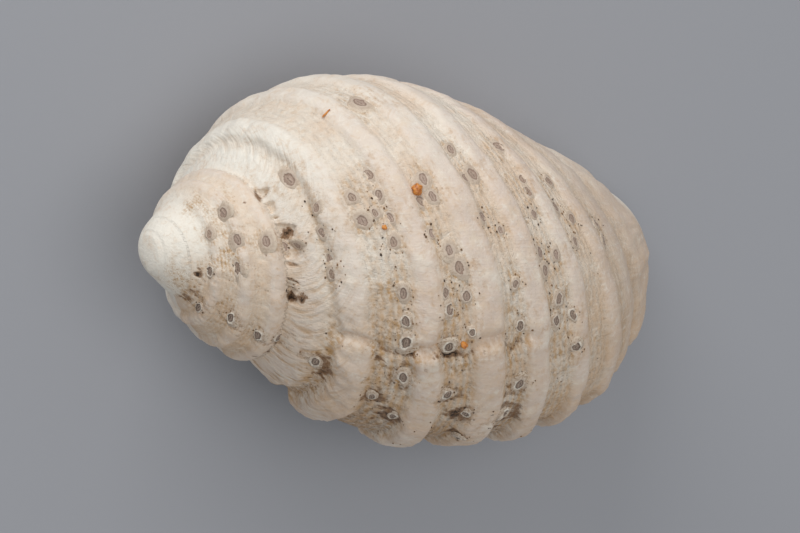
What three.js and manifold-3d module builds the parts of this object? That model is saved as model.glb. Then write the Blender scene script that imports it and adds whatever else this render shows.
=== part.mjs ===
import * as THREE from "three";
import Module from "manifold-3d";

// Rock shell: a right-handed snail shell lying on its opening, with young barnacles grown on it.
// Millimetres and degrees. Angles run round the shell axis in the direction of growth.

// Growth
const lipAngle = 112;
const whorls = 3;
const rowsPerWhorl = 41;
const sutureRadius = 7.1;
const sutureDepth = 9.1;
const sutureWidthGain = 2.43;
const sutureDepthGain = 2.5;
const sutureMark = 90;

// The tip is worn to a round knob: its radius, its middle on the axis, and the distances from the
// axis between which it runs out into the spire.
const knobRadius = 2.3;
const knobDepth = 3.33;
const knobFull = 1.5;
const knobGone = 2.6;

// Width and length of the body whorl at some angles, as shares of the full section.
const widthGrowth = [
  [-245, 0.523],
  [-170, 0.605],
  [-100, 0.745],
  [-30, 0.89],
  [40, 1.047],
  [118, 1.024],
  [130, 1.02],
];
const lengthGrowth = [
  [-245, 0.49],
  [-170, 0.56],
  [-100, 0.67],
  [-30, 0.795],
  [40, 0.98],
  [118, 1.1],
  [130, 1.115],
];

// Full section of the body whorl from the suture to the end of the canal: share along it, radius.
const sectionTop = 8.13;
const sectionLength = 29.5;
const sectionRadius = [
  [0, 7.03],
  [0.08, 8.75],
  [0.18, 10.95],
  [0.32, 12.56],
  [0.46, 12.91],
  [0.6, 12.54],
  [0.72, 11.6],
  [0.83, 10.2],
  [0.92, 8],
  [0.97, 5.8],
  [0.99, 3.9],
  [1, 1.8],
];

// The base of the whorl grows fuller with age: share added to its radius.
const baseFullness = [
  [-100, -0.04],
  [0, 0.02],
  [118, 0.06],
];

// The base draws out into the canal: distance of its end from the apex at some angles. It starts
// at one place along the section, and from another on it closes in on the pillar.
const canalEnd = [
  [-170, 26],
  [-120, 32.5],
  [-80, 35.4],
  [-40, 38.1],
  [20, 39.2],
  [70, 39.3],
  [112, 39.9],
];
// Where the end of the canal closes on the axis.
const canalNose = [
  [-130, 39.2],
  [112, 39.9],
];
const canalFrom = 0.728;
const canalPull = 0.75;
const canalFullAt = 6;

// Spiral cords: place along the section, width there and height.
const cords = [
  { name: "band below the suture", at: 0.03, wide: 0.042, high: 0.2 },
  { name: "shoulder cord", at: 0.102, wide: 0.034, high: 0.32 },
  { name: "second cord", at: 0.238, wide: 0.055, high: 0.42 },
  { name: "third cord", at: 0.374, wide: 0.074, high: 0.42 },
  { name: "fourth cord", at: 0.508, wide: 0.058, high: 0.4 },
  { name: "fifth cord", at: 0.64, wide: 0.042, high: 0.34 },
  { name: "sixth cord", at: 0.755, wide: 0.04, high: 0.28 },
  { name: "seventh cord", at: 0.84, wide: 0.042, high: 0.26 },
  { name: "fasciole", at: 0.94, wide: 0.1, high: 0.5 },
];
const cordFoot = 0.018;
// Towards the lip they stand higher.
const cordSwell = 0.8;
// They rise from nothing at the suture and sink away at the end of the canal.
const reliefFull = 0.015;
const reliefSinks = 0.94;
// Near the lip the cords bend towards the canal: share added to their places at some angles, and
// how much of it each part of the section takes.
const cordBend = [
  [34, 0],
  [50, 0.028],
  [60, 0.045],
  [80, 0.083],
  [112, 0.125],
];
const bendTaken = [
  [0, 0],
  [0.1, 0.5],
  [0.25, 1],
  [0.4, 1.1],
  [0.6, 0.9],
  [0.95, 0],
];
const sutureShare = 0.412;
const spireBulge = 0.11;
const spireRelief = 0.55;

// Opening
// Hollow behind the lip: its outline at the lip as radius and distance from the apex, and how it
// narrows with the angle going in.
const hollowOutline = [
  [8.7, 11.6],
  [10.1, 15],
  [11.4, 19.4],
  [11.8, 24],
  [11.6, 28.4],
  [10.8, 32],
  [9.2, 34.9],
  [6.6, 37.2],
  [3.6, 38.6],
  [2.2, 37.4],
  [2.6, 34],
  [3.9, 29],
  [4.7, 24],
  [5.5, 19.5],
  [6.9, 15.4],
  [7.7, 12.6],
];
const hollowTaper = [
  [-110, 0.12],
  [-80, 0.42],
  [-30, 0.66],
  [45, 0.86],
  [100, 0.97],
  [118, 0.99],
  [130, 1],
  [144, 1.05],
];

// Pillar round the axis down to the canal: distance from the apex, shift to one side and radius.
const pillarSide = -80;
const pillarPoints = 18;
const pillarStations = [
  { depth: 17, shift: 0, radius: 3 },
  { depth: 22, shift: 0.6, radius: 3.9 },
  { depth: 27.5, shift: 1.2, radius: 4.1 },
  { depth: 32.5, shift: 1.5, radius: 2.75 },
  { depth: 35, shift: 1.2, radius: 2 },
  { depth: 37.5, shift: 0.7, radius: 1.5 },
  { depth: 39, shift: 0.3, radius: 0.8 },
];

// Barnacles: angle, place along the section and width, in the furrows where they sit.
const barnacleSides = 6;
const barnacleRows = [
  { on: "band below the suture", places: [[-31, 0.064, 1.25], [61, 0.068, 0.95]] },
  {
    on: "spire",
    places: [
      [-385, 0.214, 0.95], [-363, 0.226, 0.95], [-360, 0.346, 0.9],
      [-341, 0.2, 0.9], [-300, 0.2, 0.95], [-296, 0.33, 0.9],
    ],
  },
  {
    on: "furrow under the shoulder",
    places: [
      [-21, 0.2, 0.9], [-14, 0.144, 0.95], [-13, 0.196, 0.95], [-5, 0.144, 0.95], [-5, 0.2, 0.9],
      [3, 0.188, 0.9], [19, 0.188, 0.9], [28, 0.192, 0.9], [35, 0.196, 1], [48, 0.208, 0.95],
    ],
  },
  {
    on: "second furrow",
    places: [
      [-50, 0.312, 1.25], [-16, 0.312, 1], [-10, 0.312, 0.9], [-9, 0.28, 0.9], [6, 0.304, 0.9],
      [11, 0.316, 1], [19, 0.324, 0.95], [34, 0.284, 1], [50, 0.308, 0.95], [58, 0.376, 0.9],
    ],
  },
  { on: "third furrow", places: [[-16, 0.456, 1.15], [28, 0.46, 0.9], [46, 0.48, 1], [60, 0.48, 1.4]] },
  {
    on: "fourth furrow",
    places: [[-26, 0.612, 0.95], [13, 0.552, 0.9], [21, 0.576, 0.9], [27, 0.56, 0.9], [35, 0.616, 1]],
  },
];

// Worn flats where the shell stands: how much is rubbed away.
const wornDepth = 0.25;

// Pose at rest
const apexLift = 14.7;
const heading = -4.2;
const roll = -12.7;

const shellColour = 0xd6cdc0;

const wasm = await Module();
wasm.setup();

const toRadians = (degrees) => (degrees * Math.PI) / 180;
const clamp = (value, low, high) => Math.min(high, Math.max(low, value));
const mix = (from, to, share) => from + (to - from) * share;

function ease(low, high, value) {
  const share = clamp((value - low) / (high - low), 0, 1);
  return share * share * (3 - 2 * share);
}

// Smooth curve through a few points, kept level past its ends.
function curveThrough(points, at) {
  const last = points.length - 1;
  if (at <= points[0][0]) return points[0][1];
  if (at >= points[last][0]) return points[last][1];
  let k = 0;
  while (at > points[k + 1][0]) k += 1;
  const slope = (m) => {
    const a = points[Math.max(0, m - 1)];
    const b = points[Math.min(last, m + 1)];
    return (b[1] - a[1]) / (b[0] - a[0]);
  };
  const span = points[k + 1][0] - points[k][0];
  const t = (at - points[k][0]) / span;
  const rise = points[k + 1][1] - points[k][1];
  const c0 = slope(k) * span;
  const c1 = slope(k + 1) * span;
  return points[k][1] + t * (c0 + t * (3 * rise - 2 * c0 - c1 + t * (c0 + c1 - 2 * rise)));
}

function suturePoint(angle) {
  const turns = (angle - sutureMark) / 360;
  return [sutureRadius * sutureWidthGain ** turns, sutureDepth * sutureDepthGain ** turns];
}

// Where a place among the straight cords comes to lie once they bend, and the way back.
function bent(straight, angle) {
  return straight + curveThrough(cordBend, angle) * curveThrough(bendTaken, straight);
}

function unbent(share, angle) {
  const bend = curveThrough(cordBend, angle);
  let straight = share;
  for (let k = 0; k < 3; k += 1) straight = share - bend * curveThrough(bendTaken, straight);
  return straight;
}

function relief(share, angle) {
  const moved = unbent(share, angle);
  let height = 0;
  for (const cord of cords) {
    const off = Math.abs(moved - cord.at) - cord.wide / 2;
    height = Math.max(height, cord.high * (1 - ease(-0.1 * cord.wide, cordFoot, off)));
  }
  return height * (1 + cordSwell * ease(45, 85, angle));
}

// How far the pillar reaches from the axis in the direction of an angle.
function pillarReach(depth, angle) {
  const shift = curveThrough(pillarStations.map((s) => [s.depth, s.shift]), depth);
  const radius = curveThrough(pillarStations.map((s) => [s.depth, s.radius]), depth);
  const off = toRadians(angle - pillarSide);
  return shift * Math.cos(off) + Math.sqrt(Math.max(radius ** 2 - (shift * Math.sin(off)) ** 2, 0.01));
}

// Point of the body whorl before relief: radius and distance along the axis.
function bodyPoint(share, angle) {
  const width = curveThrough(widthGrowth, angle);
  const length = curveThrough(lengthGrowth, angle);
  const edge = suturePoint(angle);
  const plainTop = [sectionRadius[0][1] * width, sectionTop * length];
  const hold = 1 - ease(0, 0.12, share);
  const fuller = curveThrough(baseFullness, angle) * ease(0.4, 0.75, share);
  return [
    curveThrough(sectionRadius, share) * width * (1 + fuller) + (edge[0] - plainTop[0]) * hold,
    (sectionTop + sectionLength * share) * length + (edge[1] - plainTop[1]) * hold,
  ];
}

// Distance along the axis of a point near the tip once it is worn.
function wornTip(radius, depth) {
  const knob = knobDepth - Math.sqrt(Math.max(0, knobRadius ** 2 - radius ** 2));
  return mix(knob, depth, ease(knobFull, knobGone, radius));
}

// Point of a spire whorl: a bulged band from one suture to the next.
function spirePoint(share, angle) {
  const upper = suturePoint(angle);
  const lower = suturePoint(angle + 360);
  const v = share / sutureShare;
  const run = [lower[0] - upper[0], lower[1] - upper[1]];
  const bulge = spireBulge * Math.sin(Math.PI * clamp(v, 0, 1)) ** 0.8;
  const radius = upper[0] + run[0] * v + run[1] * bulge;
  return [radius, wornTip(radius, upper[1] + run[1] * v - run[0] * bulge)];
}

const bodyStart = lipAngle - 360;

// Body whorl with its base drawn out into the canal.
function canalPoint(share, angle) {
  const body = bodyPoint(share, angle);
  const drawn = curveThrough(canalEnd, angle) - bodyPoint(1, angle)[1];
  const reach = drawn * ease(-190, -120, angle);
  const t = clamp((share - canalFrom) / (1 - canalFrom), 0, 1);
  const depth = body[1] + reach * t * t * (1.6 - 0.6 * t);
  const pull = clamp(reach / canalFullAt, 0, 1) * ease(canalPull, 1, share);
  return [mix(body[0], pillarReach(depth, angle), pull), depth];
}

// Outside of the shell before relief, the spire and the body whorl as one.
function plainPoint(share, angle) {
  if (angle <= bodyStart && share <= sutureShare) return spirePoint(share, angle);
  const body = canalPoint(share, angle);
  const past = Math.min(share, sutureShare);
  const old = spirePoint(past, angle);
  const base = bodyPoint(past, angle);
  const young = 1 - ease(bodyStart, bodyStart + 100, angle);
  const fade = young * (1 - ease(sutureShare, sutureShare + 0.35, share));
  return [body[0] + (old[0] - base[0]) * fade, body[1] + (old[1] - base[1]) * fade];
}

// Outside of the shell with its relief.
function outside(share, angle) {
  const point = plainPoint(share, angle);
  const before = plainPoint(Math.max(0, share - 0.01), angle);
  const after = plainPoint(Math.min(1, share + 0.01), angle);
  const run = [after[0] - before[0], after[1] - before[1]];
  const size = Math.hypot(run[0], run[1]) || 1;
  const scale = curveThrough(widthGrowth, angle) * 2.2 ** Math.min(0, (angle - bodyStart) / 360);
  const strength = mix(spireRelief, 1, ease(bodyStart - 60, bodyStart + 60, angle));
  const ends = ease(0, reliefFull, share) * (1 - ease(reliefSinks, 1, share));
  const high = relief(share, angle) * scale * strength * ends;
  return [point[0] + (run[1] / size) * high, point[1] - (run[0] / size) * high];
}

function place(radius, depth, angle) {
  const a = toRadians(angle);
  return new THREE.Vector3(radius * Math.cos(a), radius * Math.sin(a), depth);
}

function solidFrom(points, faces) {
  const vertProperties = new Float32Array(points.flatMap((p) => [p.x, p.y, p.z]));
  const triVerts = new Uint32Array(faces.flat());
  const mesh = new wasm.Mesh({ numProp: 3, vertProperties, triVerts });
  mesh.merge();
  return new wasm.Manifold(mesh);
}

// Closed solid through loops of equal length, ends closed by a middle point.
function loft(loops) {
  const points = loops.flat();
  const count = loops[0].length;
  const faces = [];
  for (let i = 0; i + 1 < loops.length; i += 1) {
    for (let j = 0; j < count; j += 1) {
      const a = i * count + j;
      const b = i * count + ((j + 1) % count);
      faces.push([a, b, b + count], [a, b + count, a + count]);
    }
  }
  for (const end of [0, loops.length - 1]) {
    const middle = new THREE.Vector3();
    loops[end].forEach((p) => middle.add(p));
    points.push(middle.divideScalar(count));
    for (let j = 0; j < count; j += 1) {
      const a = end * count + j;
      const b = end * count + ((j + 1) % count);
      faces.push(end === 0 ? [b, a, points.length - 1] : [a, b, points.length - 1]);
    }
  }
  const solid = solidFrom(points, faces);
  if (solid.volume() > 0) return solid;
  return solidFrom(points, faces.map(([a, b, c]) => [a, c, b]));
}

// Places of the columns across the section: the feet and edges of every cord.
const columns = [0];
for (const cord of cords) {
  const half = cord.wide / 2;
  for (const spot of [-half - cordFoot, -half * 0.9, half * 0.9, half + cordFoot]) {
    const share = cord.at + spot;
    if (share > columns[columns.length - 1] + 0.008 && share < 0.99) columns.push(share);
  }
}
columns.push(0.06, 0.165, 0.31, sutureShare, 0.44, 0.58, 0.7, 0.955, 1);
columns.sort((a, b) => a - b);
for (let k = columns.length - 2; k > 0; k -= 1) {
  const near = columns[k + 1] - columns[k] < 0.007;
  if (near && columns[k] !== sutureShare) columns.splice(k, 1);
}
const sutureColumn = columns.indexOf(sutureShare);

function shellSolid() {
  const points = [];
  const faces = [];
  const rows = whorls * rowsPerWhorl;
  const firstBodyRow = rows - rowsPerWhorl;
  const angleOf = (i) => lipAngle - ((rows - i) * 360) / rowsPerWhorl;
  const known = new Map();
  const lastColumn = columns.length - 1;
  const at = (i, j) => {
    if (j === sutureColumn && i <= firstBodyRow) return at(i + rowsPerWhorl, 0);
    const key = i * 1000 + j;
    if (!known.has(key)) {
      known.set(key, points.length);
      const angle = angleOf(i);
      if (j > lastColumn) {
        const share = (i - firstBodyRow) / rowsPerWhorl;
        const inside = outside(1, angle)[1] - 0.3;
        const nose = mix(inside, curveThrough(canalNose, angle), ease(-170, -130, angle));
        points.push(place(-0.25 * Math.sin(Math.PI * share) - 0.02, nose, lipAngle));
      } else {
        const spot = outside(bent(columns[j], angle), angle);
        points.push(place(spot[0], spot[1], angle));
      }
    }
    return known.get(key);
  };
  for (let i = 0; i < rows; i += 1) {
    const wide = i < firstBodyRow ? sutureColumn : lastColumn + 1;
    for (let j = 0; j < wide; j += 1) {
      const quad = [at(i, j), at(i, j + 1), at(i + 1, j + 1), at(i + 1, j)];
      faces.push([quad[0], quad[2], quad[1]], [quad[0], quad[3], quad[2]]);
    }
  }
  // Apex: the first turn closes on the tip of the knob.
  const ring = [];
  for (let i = 0; i <= rowsPerWhorl; i += 1) ring.push(at(i, 0));
  for (let j = sutureColumn - 1; j > 0; j -= 1) ring.push(at(0, j));
  points.push(new THREE.Vector3(0, 0, knobDepth - knobRadius));
  const apex = points.length - 1;
  ring.forEach((a, k) => faces.push([a, apex, ring[(k + 1) % ring.length]]));
  // Opening: one flat face over the lip, the axis and the older whorl.
  const rim = [];
  for (let j = 0; j <= lastColumn + 1; j += 1) rim.push(at(rows, j));
  for (let i = rows - 1; i >= firstBodyRow; i -= 1) rim.push(at(i, lastColumn + 1));
  for (let j = lastColumn; j > sutureColumn; j -= 1) rim.push(at(firstBodyRow, j));
  const a = toRadians(lipAngle);
  const flat = rim.map((k) => {
    const p = points[k];
    return new THREE.Vector2(p.x * Math.cos(a) + p.y * Math.sin(a), p.z);
  });
  for (const tri of THREE.ShapeUtils.triangulateShape(flat, [])) {
    faces.push([rim[tri[0]], rim[tri[2]], rim[tri[1]]]);
  }
  return [points, faces];
}

const [shellPoints, shellFaces] = shellSolid();
let shell = solidFrom(shellPoints, shellFaces);

function pillarSolid() {
  const loops = pillarStations.map(({ depth, shift, radius }) => {
    const middle = place(shift, 0, pillarSide);
    const loop = [];
    for (let k = 0; k < pillarPoints; k += 1) {
      loop.push(place(radius, depth, (k * 360) / pillarPoints).add(middle));
    }
    return loop;
  });
  return loft(loops);
}

function hollowSolid() {
  const middle = [0, 0];
  for (const spot of hollowOutline) {
    middle[0] += spot[0] / hollowOutline.length;
    middle[1] += spot[1] / hollowOutline.length;
  }
  const lipWidth = curveThrough(widthGrowth, lipAngle);
  const lipLength = curveThrough(lengthGrowth, lipAngle);
  const loops = [];
  for (let angle = 144; angle >= -110; angle -= 14) {
    const taper = curveThrough(hollowTaper, angle);
    const width = curveThrough(widthGrowth, angle) / lipWidth;
    const length = curveThrough(lengthGrowth, angle) / lipLength;
    loops.push(
      hollowOutline.map(([radius, depth]) =>
        place(mix(middle[0], radius, taper) * width, mix(middle[1], depth, taper) * length, angle),
      ),
    );
  }
  return loft(loops);
}

shell = shell.add(pillarSolid()).subtract(hollowSolid());

function surfaceSpot(share, angle) {
  const spot = outside(share, angle);
  return place(spot[0], spot[1], angle);
}

// A low cone with a sunk top, longer in the direction of growth.
function barnacleSolid(angle, share, width) {
  const middle = surfaceSpot(share, angle);
  const along = surfaceSpot(share, angle + 1).sub(surfaceSpot(share, angle - 1)).normalize();
  const down = surfaceSpot(share + 0.01, angle).sub(surfaceSpot(share - 0.01, angle)).normalize();
  const up = new THREE.Vector3().crossVectors(along, down).normalize();
  const out = place(1, 0, angle);
  if (up.dot(out) < 0) up.negate();
  const across = new THREE.Vector3().crossVectors(up, along);
  const levels = [
    [1, -0.3],
    [0.72, 0.3],
    [0.42, 0.33],
    [0.3, 0.15],
  ];
  const loops = levels.map(([size, height]) => {
    const loop = [];
    for (let k = 0; k < barnacleSides; k += 1) {
      const turn = ((k + 0.5) * 2 * Math.PI) / barnacleSides;
      loop.push(
        middle
          .clone()
          .addScaledVector(along, Math.cos(turn) * size * width * 0.58)
          .addScaledVector(across, Math.sin(turn) * size * width * 0.46)
          .addScaledVector(up, height * width),
      );
    }
    return loop;
  });
  return loft(loops);
}

for (const { places } of barnacleRows) {
  for (const [angle, share, width] of places) shell = shell.add(barnacleSolid(angle, share, width));
}

function meshOf(solid, name, material) {
  const data = solid.getMesh();
  const geometry = new THREE.BufferGeometry();
  geometry.setAttribute("position", new THREE.BufferAttribute(new Float32Array(data.vertProperties), 3));
  geometry.setIndex(Array.from(data.triVerts));
  const mesh = new THREE.Mesh(geometry, material);
  mesh.name = name;
  return mesh;
}

// Turns the shell from its own axis into the pose at rest.
function poseMatrix() {
  const lift = toRadians(apexLift);
  const turn = toRadians(heading);
  const level = Math.cos(lift);
  const along = new THREE.Vector3(level * Math.cos(turn), level * Math.sin(turn), -Math.sin(lift));
  const side = new THREE.Vector3(Math.sin(turn), -Math.cos(turn), 0);
  side.applyAxisAngle(along, toRadians(roll));
  const top = new THREE.Vector3().crossVectors(side, along);
  return new THREE.Matrix4().makeBasis(top, side, along);
}

const material = new THREE.MeshStandardMaterial({ color: shellColour, roughness: 0.6, metalness: 0 });
const group = new THREE.Group();

// Stand it on the floor, rub the lowest points flat and bring it over the origin.
shell = shell.transform(poseMatrix().elements);
const floor = shell.boundingBox().min[2] + wornDepth;
const blockSize = 100;
const below = new THREE.BoxGeometry(blockSize, blockSize, blockSize).toNonIndexed();
below.translate(0, 0, floor - blockSize / 2);
const corners = below.getAttribute("position");
const blockPoints = [];
const blockFaces = [];
for (let k = 0; k < corners.count; k += 1) {
  blockPoints.push(new THREE.Vector3().fromBufferAttribute(corners, k));
  if (k % 3 === 0) blockFaces.push([k, k + 1, k + 2]);
}
shell = shell.subtract(solidFrom(blockPoints, blockFaces));
const box = shell.boundingBox();
shell = shell.translate([-(box.min[0] + box.max[0]) / 2, -(box.min[1] + box.max[1]) / 2, -box.min[2]]);

group.add(meshOf(shell, "shell", material));
export default group;
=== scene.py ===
import math

import bpy
import numpy as np
from mathutils import Matrix, Quaternion, Vector


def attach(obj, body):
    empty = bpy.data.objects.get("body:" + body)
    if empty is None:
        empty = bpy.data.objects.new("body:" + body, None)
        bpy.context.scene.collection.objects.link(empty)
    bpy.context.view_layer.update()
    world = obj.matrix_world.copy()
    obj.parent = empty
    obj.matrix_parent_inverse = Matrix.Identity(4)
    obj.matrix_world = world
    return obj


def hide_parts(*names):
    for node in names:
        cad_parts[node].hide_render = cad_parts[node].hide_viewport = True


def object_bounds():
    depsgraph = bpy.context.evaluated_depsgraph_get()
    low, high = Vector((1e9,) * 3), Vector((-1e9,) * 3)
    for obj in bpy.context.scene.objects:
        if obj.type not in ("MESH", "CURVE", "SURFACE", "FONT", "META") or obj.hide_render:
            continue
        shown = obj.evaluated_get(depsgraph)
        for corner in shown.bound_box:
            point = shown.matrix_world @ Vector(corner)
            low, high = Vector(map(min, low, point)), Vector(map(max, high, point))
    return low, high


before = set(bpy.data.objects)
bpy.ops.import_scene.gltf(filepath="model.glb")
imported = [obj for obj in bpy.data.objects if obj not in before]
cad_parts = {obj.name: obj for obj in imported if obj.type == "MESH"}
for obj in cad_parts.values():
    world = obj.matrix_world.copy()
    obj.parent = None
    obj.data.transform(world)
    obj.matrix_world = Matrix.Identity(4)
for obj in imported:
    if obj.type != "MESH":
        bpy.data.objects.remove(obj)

mm = 0.001  # shapes below are worked out in millimetres and degrees
cadLow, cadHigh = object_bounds()
print("frame loaded:", sorted(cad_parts))

# growth of the shell: the solid's values, apart from canalHold, spireRelief and the soft edges
growth = {
    "lipAngle": 112.0, "sutureRadius": 7.1, "sutureDepth": 9.1, "sutureWidthGain": 2.43,
    "sutureDepthGain": 2.5, "sutureMark": 90.0,
    "width": [
        (-245, 0.523), (-170, 0.605), (-100, 0.745), (-30, 0.89), (40, 1.047), (118, 1.024), (130, 1.02),
    ],
    "length": [
        (-245, 0.49), (-170, 0.56), (-100, 0.67), (-30, 0.795), (40, 0.98), (118, 1.1), (130, 1.115),
    ],
    "sectionTop": 8.13, "sectionLength": 29.5,
    "sectionRadius": [
        (0, 7.03), (0.08, 8.75), (0.18, 10.95), (0.32, 12.56), (0.46, 12.91), (0.6, 12.54),
        (0.72, 11.6), (0.83, 10.2), (0.92, 8), (0.97, 5.8), (0.99, 3.9), (1, 1.8),
    ],
    "canalEnd": [(-170, 26), (-120, 32.5), (-80, 35.4), (-40, 38.1), (20, 39.2), (70, 39.3), (112, 39.9)],
    "canalNose": [(-130, 39.2), (112, 39.9)],
    "canalFrom": 0.728, "canalBow": 0.6,
    "canalOver": (-190, -120),  # angles over which the canal grows out
    "canalPull": 0.75,
    "canalHold": [(-80, 1), (-40, 0.8), (0, 0.58), (20, 0.48), (40, 0.42), (70, 0.14), (112, 0)],
    "baseFullness": [(-100, -0.04), (0, 0.02), (118, 0.06)],
    "baseOver": (0.4, 0.75),
    "sutureShare": 0.412,  # place on the older whorl where the next one starts
    "sutureHold": 0.12,  # share over which the section is bent to meet the suture
    "sutureSoft": 0.03,
    "oldFade": 100.0,  # degrees, and share, over which the body whorl leaves the spire's form
    "baseFade": 0.35, "spireBulge": 0.11, "spireRound": 0.8, "spireRelief": 1.6,
    "spireRunOut": 60.0, "whorlGain": 2.2, "slopeStep": 0.008, "lipBevel": 7.0, "lipDrop": 0.55,
    "apexLift": 14.7, "heading": -4.2, "roll": -12.7, "apexPlace": (-19.697, 3.269, 11.047),
}

# spiral cords: place along the section, width there, height
cords = {
    "rows": [
        (0.03, 0.042, 0.13), (0.102, 0.04, 0.4), (0.238, 0.055, 0.42), (0.374, 0.074, 0.42),
        (0.508, 0.058, 0.4), (0.64, 0.042, 0.34), (0.755, 0.04, 0.28), (0.84, 0.042, 0.26),
        (0.94, 0.1, 0.5),
    ],
    "foot": 0.012,
    "shoulder": 0.14,  # share of a cord's width that is rounded at its edge
    "crown": 0.14,
    "bend": [(34, 0), (50, 0.028), (60, 0.045), (80, 0.083), (112, 0.125)],  # angle, share
    "bendTaken": [(0, 0), (0.1, 0.5), (0.25, 1), (0.4, 1.1), (0.6, 0.9), (0.95, 0)],
    "lipLoss": 0.3,  # the cords are lower towards the lip, where the solid's are higher
    "lipLossOver": (60, 95),
    "sunk": 0.4,  # and the furrows lie deeper there
    "sunkOver": (45, 85), "sunkBelow": (0.04, 0.1),
    "endsAt": 0.94,  # the cords sink away from here to the end of the canal
    "wander": 0.0035, "wanderLength": 14, "edgeWander": 0.003, "edgeLength": 5, "uneven": 0.2,
    "unevenLength": 9,
}

# low unevenness of the surface: height, length in degrees, count along the section
lumps = {
    "coarse": (0.07, 8, 22), "middle": (0.045, 3, 60), "fine": (0.025, 1.3, 130),
    "fineOver": (-30, 40), "below": (0.02, 0.08),
}

# an old repair line across the whorl: the cords stop in round fronts there and start again
scar = {
    "line": [(0, 45), (0.088, 42), (0.24, 37), (0.3, 36), (0.408, 33), (0.46, 33), (0.6, 36), (1, 40)],
    "ahead": 2.0,  # degrees that a new cord's front lies before the line in the furrows
    "front": 5.0, "dip": 0.6, "dipFrom": -4.0, "fuller": 0.6, "healed": (8, 26), "drop": 0.2,
    "dropWidth": 1.6,
    "ragged": [(1.8, 34, 11), (0.3, 90, 12)],  # degrees, count along the section, seed
    "starts": (0.07, 0.1), "ends": (0.46, 0.53),
}

# the chipped edge of the band below the suture
chip = {
    "from": -40.0, "to": 44.0, "runOut": 8.0, "reach": 0.036, "depth": 0.32, "mean": 0.4,
    "most": 1.2,
    "jags": [(0.55, 7, 21), (0.4, 2.4, 22)],  # share of the reach, length in degrees, seed
    "edge": 0.004, "least": (0.004, 0.01), "seam": 0.006,
}

# the tip is worn to a round knob that runs out into the spire between two distances from the axis
knob = {
    "radius": 2.3, "depth": 3.33, "slope": 38.0, "full": 2.3, "gone": 3.9,
    "reliefOver": (2.6, 4.6), "smooth": 3.2, "smoothDepth": 2.0, "smoothRepeat": 8,
}


def ease(low, high, value):
    share = np.clip((value - low) / (high - low), 0, 1)
    return share * share * (3 - 2 * share)


def curve(points, at):
    xs, ys = np.array(points, float).T
    last = len(xs) - 1
    slopes = np.array([
        (ys[min(last, k + 1)] - ys[max(0, k - 1)]) / (xs[min(last, k + 1)] - xs[max(0, k - 1)])
        for k in range(last + 1)
    ])
    at = np.clip(np.asarray(at, float), xs[0], xs[-1])
    k = np.clip(np.searchsorted(xs, at) - 1, 0, last - 1)
    span = xs[k + 1] - xs[k]
    t = (at - xs[k]) / span
    rise = ys[k + 1] - ys[k]
    c0, c1 = slopes[k] * span, slopes[k + 1] * span
    return ys[k] + t * (c0 + t * (3 * rise - 2 * c0 - c1 + t * (c0 + c1 - 2 * rise)))


# smooth noise from -1 to 1 on a lattice, the same on every run
def noise(x, y, seed=0.0):
    x, y = np.broadcast_arrays(np.asarray(x, float), np.asarray(y, float))
    fx, fy = np.floor(x), np.floor(y)
    tx, ty = ease(0, 1, x - fx), ease(0, 1, y - fy)

    def corner(dx, dy):
        value = np.sin((fx + dx) * 12.9898 + (fy + dy) * 78.233 + seed * 37.719) * 43758.5453
        return value - np.floor(value)

    low = corner(0, 0) * (1 - tx) + corner(1, 0) * tx
    high = corner(0, 1) * (1 - tx) + corner(1, 1) * tx
    return (low * (1 - ty) + high * ty) * 2 - 1


def suturePoint(angle):
    turns = (angle - growth["sutureMark"]) / 360
    radius = growth["sutureRadius"] * growth["sutureWidthGain"] ** turns
    return radius, growth["sutureDepth"] * growth["sutureDepthGain"] ** turns


def bodyPoint(share, angle):
    width = curve(growth["width"], angle)
    length = curve(growth["length"], angle)
    edgeRadius, edgeDepth = suturePoint(angle)
    hold = 1 - ease(0, growth["sutureHold"], share)
    fuller = 1 + curve(growth["baseFullness"], angle) * ease(*growth["baseOver"], share)
    radius = curve(growth["sectionRadius"], share) * width * fuller
    radius = radius + (edgeRadius - growth["sectionRadius"][0][1] * width) * hold
    depth = (growth["sectionTop"] + growth["sectionLength"] * share) * length
    return radius, depth + (edgeDepth - growth["sectionTop"] * length) * hold


def wornTip(radius, depth):
    slope = math.radians(knob["slope"])  # a round end on a cone
    joint = knob["radius"] * math.cos(slope)
    ball = knob["depth"] - np.sqrt(np.maximum(0, knob["radius"] ** 2 - np.minimum(radius, joint) ** 2))
    tip = ball + np.maximum(0, radius - joint) / math.tan(slope)
    return tip + (depth - tip) * ease(knob["full"], knob["gone"], radius)


def spirePoint(share, angle):
    upperRadius, upperDepth = suturePoint(angle)
    lowerRadius, lowerDepth = suturePoint(angle + 360)
    v = share / growth["sutureShare"]
    runOut, runDown = lowerRadius - upperRadius, lowerDepth - upperDepth
    bulge = growth["spireBulge"] * np.sin(np.pi * np.clip(v, 0, 1)) ** growth["spireRound"]
    radius = upperRadius + runOut * v + runDown * bulge
    return radius, wornTip(radius, upperDepth + runDown * v - runOut * bulge)


bodyStart = growth["lipAngle"] - 360

pillar = {
    "side": -80.0,
    "shift": [(17, 0), (22, 0.6), (27.5, 1.2), (32.5, 1.5), (35, 1.2), (37.5, 0.7), (39, 0.3)],
    "radius": [(17, 3), (22, 3.9), (27.5, 4.1), (32.5, 2.75), (35, 2), (37.5, 1.5), (39, 0.8)],
    "slimmer": 0.12,  # it stays just under the skin that closes in on it
    "points": 40, "levels": 40,
    "finish": {"outer": 1.0, "across": 0.97, "turn": 0.0},  # place on the skin that it looks like
}


# how far the pillar reaches from the axis in the direction of an angle
def pillarReach(depth, angle):
    shift = curve(pillar["shift"], depth)
    radius = curve(pillar["radius"], depth)
    off = np.radians(angle - pillar["side"])
    return shift * np.cos(off) + np.sqrt(np.maximum(radius ** 2 - (shift * np.sin(off)) ** 2, 0.01))


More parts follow.
